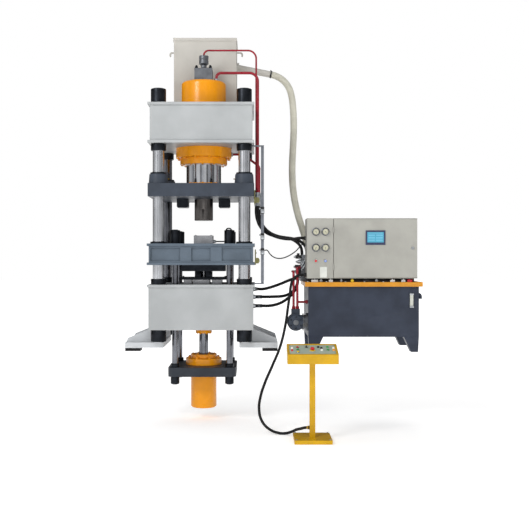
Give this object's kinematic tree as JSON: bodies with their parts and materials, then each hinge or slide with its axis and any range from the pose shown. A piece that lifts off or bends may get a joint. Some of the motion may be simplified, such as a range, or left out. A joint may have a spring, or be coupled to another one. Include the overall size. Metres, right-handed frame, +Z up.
{
  "type": "hydraulic press",
  "caption": "Four-column hydraulic powder press with a moving slide, floating die plate, withdrawal cylinder, hydraulic power unit with control cabinet, and operator console.",
  "frame": {"origin": "press axis in the plane of the feet's undersides", "axes": "+X to the power unit, +Y to the back, +Z up"},
  "size_m": [3.114, 2.202, 4.239],
  "materials": {
    "beam_paint": "satin light grey machine enamel",
    "grey_paint": "satin warm grey machine enamel",
    "cabinet_paint": "fine textured powder coat",
    "slide_paint": "semi-gloss dark grey enamel",
    "die_plate_paint": "semi-gloss blue grey enamel",
    "oil_tank_paint": "semi-gloss dark blue grey enamel",
    "pump_paint": "semi-gloss dark enamel on castings",
    "cylinder_paint": "gloss orange yellow enamel",
    "cover_paint": "gloss orange yellow enamel",
    "console_paint": "gloss yellow enamel",
    "pipe_paint": "gloss red enamel",
    "chrome_steel": "hard chrome plated and ground",
    "ground_steel": "ground tool steel",
    "rail_steel": "drawn flat steel",
    "zinc_steel": "bright zinc plate",
    "passivated_zinc": "yellow passivated zinc",
    "valve_steel": "phosphated steel",
    "black_oxide": "black oxide on turned steel",
    "gauge_metal": "plated bezel with a pale dial",
    "control_plastic": "moulded grey plastic",
    "screen_plastic": "moulded bezel round a lit panel",
    "red_plastic": "moulded red plastic",
    "blue_plastic": "moulded blue plastic",
    "green_plastic": "moulded green plastic",
    "yellow_plastic": "moulded yellow plastic",
    "black_plastic": "moulded black plastic",
    "grey_hose": "ribbed flexible suction hose",
    "black_rubber": "smooth black rubber cover"
  },
  "bodies": {
    "frame": {"upper_beam": "beam_paint", "lower_beam": "beam_paint", "columns": "chrome_steel", "column_nuts": "black_oxide", "main_cylinder": "cylinder_paint", "cylinder_gland": "cylinder_paint", "prefill_valve": "valve_steel", "prefill_tank": "grey_paint", "pilot_pipe": "pipe_paint", "pressure_pipe": "pipe_paint", "return_pipe": "pipe_paint", "pipe_fittings": "zinc_steel", "stroke_rail": "rail_steel", "press_feet": "beam_paint", "withdrawal_rod": "chrome_steel", "rod_flange": "cylinder_paint", "spacer_blocks": "ground_steel", "lower_punch_holder": "black_oxide", "lower_punch": "ground_steel", "oil_tank": "oil_tank_paint", "tank_legs": "oil_tank_paint", "tank_cover": "cover_paint", "cabinet": "cabinet_paint", "control_gear": "control_plastic", "pressure_gauges": "gauge_metal", "valve_manifold": "valve_steel", "pump": "pump_paint", "pump_pipes": "pipe_paint", "console_stand": "console_paint", "console_box": "console_paint", "suction_hose": "grey_hose", "pressure_hoses": "black_rubber", "sensor_cable": "black_rubber", "console_cable": "black_rubber"},
    "slide": {"slide_plate": "slide_paint", "slide_bushes": "black_oxide", "main_ram": "chrome_steel", "ram_flange": "cylinder_paint", "upper_punch": "ground_steel", "stop_blocks": "black_oxide", "slide_striker": "passivated_zinc"},
    "die_set": {"die_plate": "die_plate_paint", "die_collars": "black_oxide", "die": "ground_steel", "tie_rods": "chrome_steel", "tie_rod_nuts": "black_oxide", "yoke": "slide_paint", "withdrawal_cylinder": "cylinder_paint", "withdrawal_gland": "cylinder_paint", "die_striker": "passivated_zinc"},
    "door": {"cabinet_door": "cabinet_paint", "touchscreen": "screen_plastic"},
    "red_push": {"red_button": "red_plastic"},
    "blue_push": {"blue_button": "blue_plastic"},
    "emergency_push": {"emergency_stop": "red_plastic"},
    "selector": {"selector_switch": "black_plastic"},
    "start_push": {"start_button": "green_plastic"},
    "stop_push": {"stop_button": "red_plastic"},
    "raise_push": {"raise_button": "green_plastic"},
    "lower_push": {"lower_button": "yellow_plastic"}
  },
  "joints": [
    {"name": "slide_stroke", "type": "slide", "parent": "frame", "child": "slide", "axis": [0, 0, 1], "range_m": [-0.075, 0.19]},
    {"name": "die_float", "type": "slide", "parent": "frame", "child": "die_set", "axis": [0, 0, 1], "range_m": [0, 0.08]},
    {"name": "door_swing", "type": "hinge", "parent": "frame", "child": "door", "pos_m": [1.377, -0.575, 1.0775], "axis": [0, 0, -1], "range_deg": [0, 110]},
    {"name": "red_press", "type": "slide", "parent": "frame", "child": "red_push", "axis": [0, 1, 0], "range_m": [0, 0.004], "stiffness_N_per_m": 600, "springref_m": -0.004},
    {"name": "blue_press", "type": "slide", "parent": "frame", "child": "blue_push", "axis": [0, 1, 0], "range_m": [0, 0.004], "stiffness_N_per_m": 600, "springref_m": -0.004},
    {"name": "emergency_press", "type": "slide", "parent": "frame", "child": "emergency_push", "axis": [0, 0.2652, -0.9642], "range_m": [0, 0.006]},
    {"name": "selector_turn", "type": "hinge", "parent": "frame", "child": "selector", "pos_m": [1.06, -1.17983, 0.10821], "axis": [0, -0.2652, 0.9642], "range_deg": [-45, 45]},
    {"name": "start_press", "type": "slide", "parent": "frame", "child": "start_push", "axis": [0, 0.2652, -0.9642], "range_m": [0, 0.004], "stiffness_N_per_m": 600, "springref_m": -0.004},
    {"name": "stop_press", "type": "slide", "parent": "frame", "child": "stop_push", "axis": [0, 0.2652, -0.9642], "range_m": [0, 0.004], "stiffness_N_per_m": 600, "springref_m": -0.004},
    {"name": "raise_press", "type": "slide", "parent": "frame", "child": "raise_push", "axis": [0, 0.2652, -0.9642], "range_m": [0, 0.004], "stiffness_N_per_m": 600, "springref_m": -0.004},
    {"name": "lower_press", "type": "slide", "parent": "frame", "child": "lower_push", "axis": [0, 0.2652, -0.9642], "range_m": [0, 0.004], "stiffness_N_per_m": 600, "springref_m": -0.004}
  ]
}
